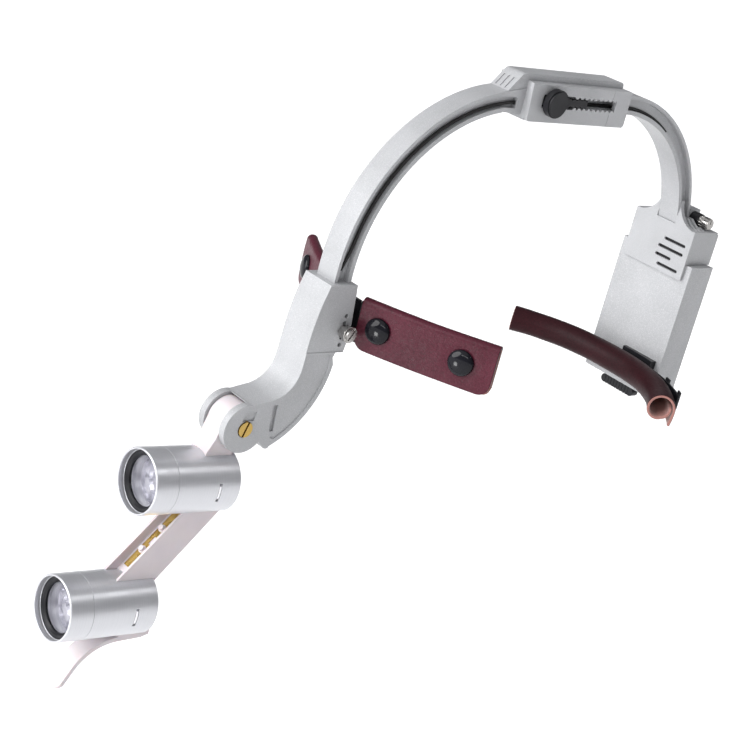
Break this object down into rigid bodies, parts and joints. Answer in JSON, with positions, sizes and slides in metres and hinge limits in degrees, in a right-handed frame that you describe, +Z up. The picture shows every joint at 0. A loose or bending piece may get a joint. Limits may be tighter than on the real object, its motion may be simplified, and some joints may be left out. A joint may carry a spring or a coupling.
{
  "type": "head visor magnifier",
  "caption": "Over-the-head band with leather forehead and neck pads, a rear battery box and a tilting arm that carries stacked lit lens barrels.",
  "frame": {"origin": "centre of the wearer's head, at the height of the middle of the forehead pad", "axes": "+Z up, -Y forward in the direction that the wearer looks, +X to the wearer's left"},
  "size_m": [0.1338, 0.3392, 0.2809],
  "materials": {
    "silver_shell": "satin silver paint",
    "satin_aluminium": "satin turned",
    "polished_aluminium": "bright turned",
    "white_plastic": "satin moulded",
    "black_plastic": "satin moulded",
    "snap_black": "polished",
    "black_rubber": "matte",
    "leather": "fine grain, satin",
    "brass_fitting": "turned",
    "nickel_fitting": "nickel plated",
    "lens_glass": "polished, coated",
    "circuit_board": "solder mask",
    "lamp_board": "white board",
    "cell_wrap": "shrink wrap"
  },
  "bodies": {
    "front_frame": {"front_band": "silver_shell", "adjuster_housing": "silver_shell", "toothed_plate": "silver_shell", "slot_end_cap": "silver_shell", "left_cover_plate": "silver_shell", "lower_bracket": "silver_shell", "pivot_screw": "brass_fitting", "pivot_nut": "brass_fitting", "front_wire": "black_rubber", "housing_screws": "nickel_fitting"},
    "forehead_pad": {"pad_bracket": "black_plastic", "pad_screw": "nickel_fitting", "pad_carrier": "black_plastic", "sleeve_left": "leather", "sleeve_right": "leather", "pad_snaps": "snap_black"},
    "rear_frame": {"rear_band": "silver_shell", "band_foot": "silver_shell", "upper_case": "silver_shell", "case_floor": "silver_shell", "driver_board": "circuit_board", "vent_liner": "black_plastic", "dimmer_collar": "black_plastic", "battery_box": "silver_shell", "battery_contacts": "brass_fitting", "rear_pad_spine": "black_plastic", "rear_pad_roll": "leather", "rear_wire": "black_rubber"},
    "battery": {"battery_cartridge": "black_plastic", "lithium_cell": "cell_wrap", "cartridge_grip": "black_plastic"},
    "dimmer": {"dimmer_knob": "nickel_fitting"},
    "latch": {"size_latch": "black_plastic", "latch_spring": "nickel_fitting"},
    "optics": {"knuckle_arm": "white_plastic", "channel_bar": "white_plastic", "brass_strip": "brass_fitting", "bar_posts": "white_plastic", "finger_lever": "white_plastic", "upper_barrel": "satin_aluminium", "upper_front_ring": "satin_aluminium", "upper_retaining_ring": "black_plastic", "upper_lens": "lens_glass", "upper_lamp_board": "lamp_board", "upper_rear_cap": "satin_aluminium", "lower_barrel": "satin_aluminium", "lower_front_ring": "satin_aluminium", "lower_retaining_ring": "black_plastic", "lower_lens": "lens_glass", "lower_lamp_board": "lamp_board", "lower_rear_cap": "satin_aluminium"},
    "upper_focus": {"upper_ribbed_sleeve": "polished_aluminium"},
    "lower_focus": {"lower_ribbed_sleeve": "polished_aluminium"}
  },
  "joints": [
    {"name": "band_size", "type": "slide", "parent": "front_frame", "child": "rear_frame", "axis": [0, 1, 0], "range_m": [0, 0.019]},
    {"name": "latch_press", "type": "slide", "parent": "rear_frame", "child": "latch", "axis": [-1, 0, 0], "range_m": [0, 0.001], "stiffness_N_per_m": 600},
    {"name": "dimmer_turn", "type": "hinge", "parent": "rear_frame", "child": "dimmer", "pos_m": [0.012, 0.118, 0.049], "axis": [1, 0, 0], "range_deg": [0, 270]},
    {"name": "battery_slide", "type": "slide", "parent": "rear_frame", "child": "battery", "axis": [0, 0, -1], "range_m": [0, 0.066]},
    {"name": "optics_tilt", "type": "hinge", "parent": "front_frame", "child": "optics", "pos_m": [0, -0.1422, -0.0473], "axis": [1, 0, 0], "range_deg": [-90, 15]},
    {"name": "upper_focus_turn", "type": "hinge", "parent": "optics", "child": "upper_focus", "pos_m": [0, -0.1416, -0.0745], "axis": [0, -0.9982, 0.0593], "range_deg": [-4.5, 4.5]},
    {"name": "lower_focus_turn", "type": "hinge", "parent": "optics", "child": "lower_focus", "pos_m": [0, -0.1704, -0.1303], "axis": [0, -0.9982, 0.0593], "range_deg": [-4.5, 4.5]},
    {"name": "pad_tilt", "type": "hinge", "parent": "front_frame", "child": "forehead_pad", "pos_m": [0, -0.1013, -0.0037], "axis": [1, 0, 0], "range_deg": [-8, 8]}
  ]
}
